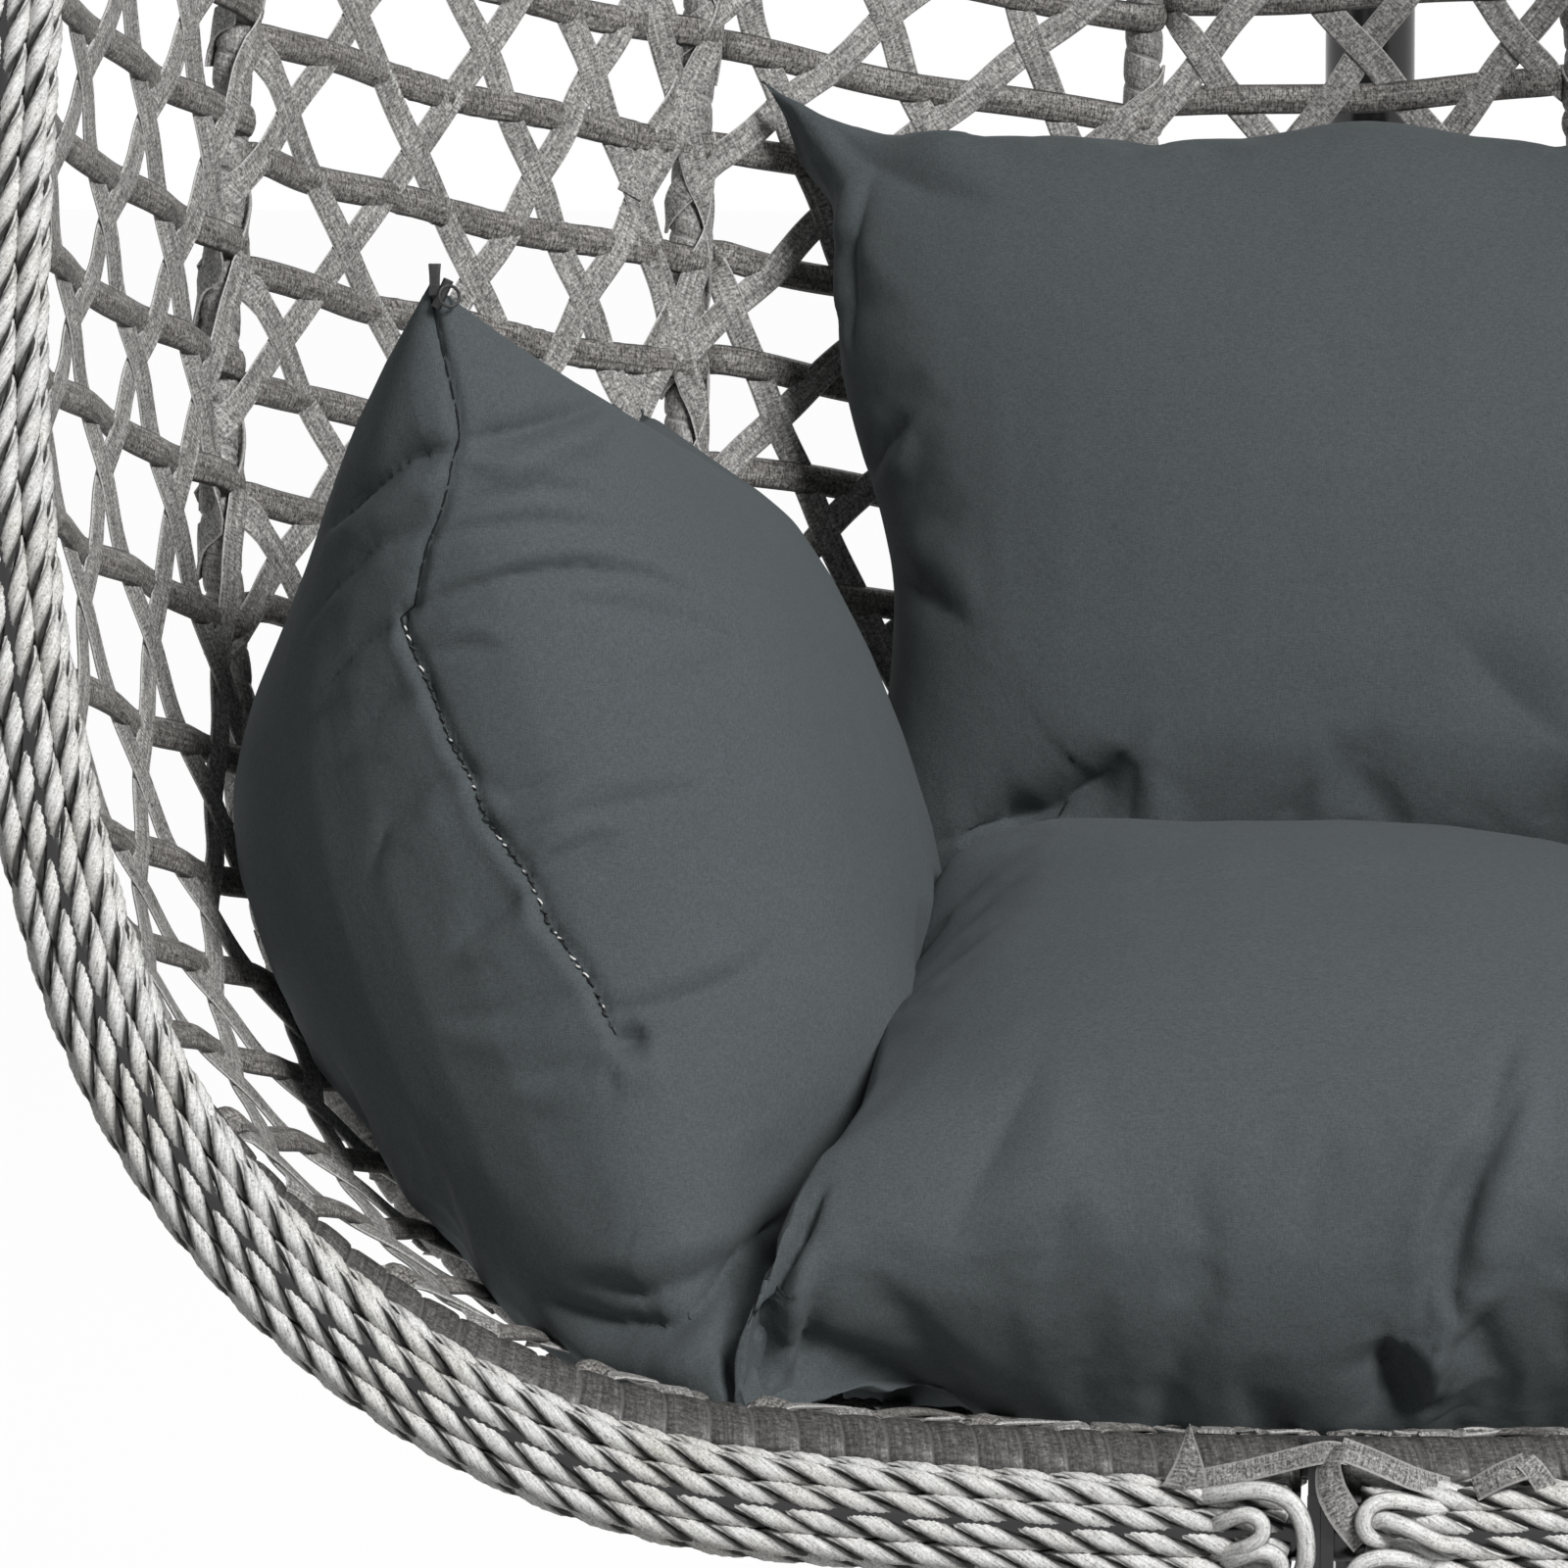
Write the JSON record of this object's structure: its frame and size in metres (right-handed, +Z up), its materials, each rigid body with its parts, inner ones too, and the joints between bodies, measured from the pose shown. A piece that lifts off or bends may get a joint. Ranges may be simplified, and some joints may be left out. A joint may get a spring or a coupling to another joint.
{
  "type": "hanging egg chair",
  "caption": "Woven egg-shaped basket with cushions, hung by a snap hook, spring and swivel from a bowed steel post on a round base.",
  "frame": {"origin": "on the floor, in the middle of the whole object's box", "axes": "+Z up; the basket's open front faces -Y, towards the sitter's view; +X to the right when looking along +Y"},
  "size_m": [1.1564, 1.1198, 1.966],
  "materials": {
    "black_steel": "gloss black powder coat",
    "zinc_steel": "bright zinc plate",
    "black_rubber": "matt",
    "black_plastic": "matt",
    "pale_braid": "pale grey mottled plastic rattan, in plaits",
    "wrapped_tube": "steel tube wrapped in flat grey plastic rattan",
    "grey_strip": "flat grey heathered plastic rattan",
    "slate_fabric": "matt fine-weave polyester"
  },
  "bodies": {
    "stand": {"base_ring_left": "black_steel", "base_ring_right": "black_steel", "base_bar": "black_steel", "base_feet": "black_rubber", "base_bolts": "zinc_steel", "base_nuts": "zinc_steel", "post_socket": "black_steel", "post_lower": "black_steel", "post_upper": "black_steel", "post_sleeve": "zinc_steel", "post_bolts": "zinc_steel", "post_nuts": "zinc_steel", "arm_cap": "black_plastic", "eye_bolt": "zinc_steel", "eye_saddle": "zinc_steel", "eye_nut": "zinc_steel"},
    "hook": {"snap_hook": "zinc_steel", "gate_pin": "zinc_steel"},
    "gate": {"snap_gate": "zinc_steel"},
    "spring_top": {"spring_top_fitting": "zinc_steel", "suspension_spring": "zinc_steel"},
    "spring_bottom": {"spring_bottom_fitting": "zinc_steel"},
    "basket": {"swivel_stem": "zinc_steel", "stem_nut": "zinc_steel", "crown_hub": "black_steel", "bottom_hub": "black_steel", "rim_tube_left": "black_steel", "rim_tube_right": "black_steel", "rim_flanges_left": "black_steel", "rim_flanges_right": "black_steel", "rim_bolts": "zinc_steel", "rim_nuts": "zinc_steel", "rim_braid_left": "pale_braid", "rim_braid_right": "pale_braid", "hoop_left": "wrapped_tube", "hoop_right": "wrapped_tube", "rib_outer_left": "wrapped_tube", "rib_middle_left": "wrapped_tube", "rib_centre_left": "wrapped_tube", "rib_outer_right": "wrapped_tube", "rib_middle_right": "wrapped_tube", "rib_centre_right": "wrapped_tube", "weave_left": "grey_strip", "weave_back": "grey_strip", "weave_right": "grey_strip", "seat_cushion": "slate_fabric", "back_cushion": "slate_fabric", "arm_cushion_left": "slate_fabric", "arm_cushion_right": "slate_fabric", "zip_pull_left": "black_plastic", "zip_pull_right": "black_plastic"}
  },
  "joints": [
    {"name": "swing_fore_aft", "type": "hinge", "parent": "stand", "child": "hook", "pos_m": [0, -0.061, 1.8763], "axis": [1, 0, 0], "range_deg": [-18, 7]},
    {"name": "gate_open", "type": "hinge", "parent": "hook", "child": "gate", "pos_m": [0.013, -0.061, 1.8313], "axis": [0, -1, 0], "range_deg": [0, 25], "stiffness_Nm_per_rad": 0.05, "springref_deg": -11.46},
    {"name": "swing_side", "type": "hinge", "parent": "hook", "child": "spring_top", "pos_m": [0, -0.061, 1.8156], "axis": [0, 1, 0], "range_deg": [-10, 10]},
    {"name": "spring_stretch", "type": "slide", "parent": "spring_top", "child": "spring_bottom", "axis": [0, 0, -1], "range_m": [0, 0.05], "stiffness_N_per_m": 15000, "springref_m": -0.04, "deforming": ["suspension_spring"]},
    {"name": "swivel", "type": "hinge", "parent": "spring_bottom", "child": "basket", "pos_m": [0, -0.061, 1.64], "axis": [0, 0, 1], "range_deg": [-60, 60]}
  ]
}
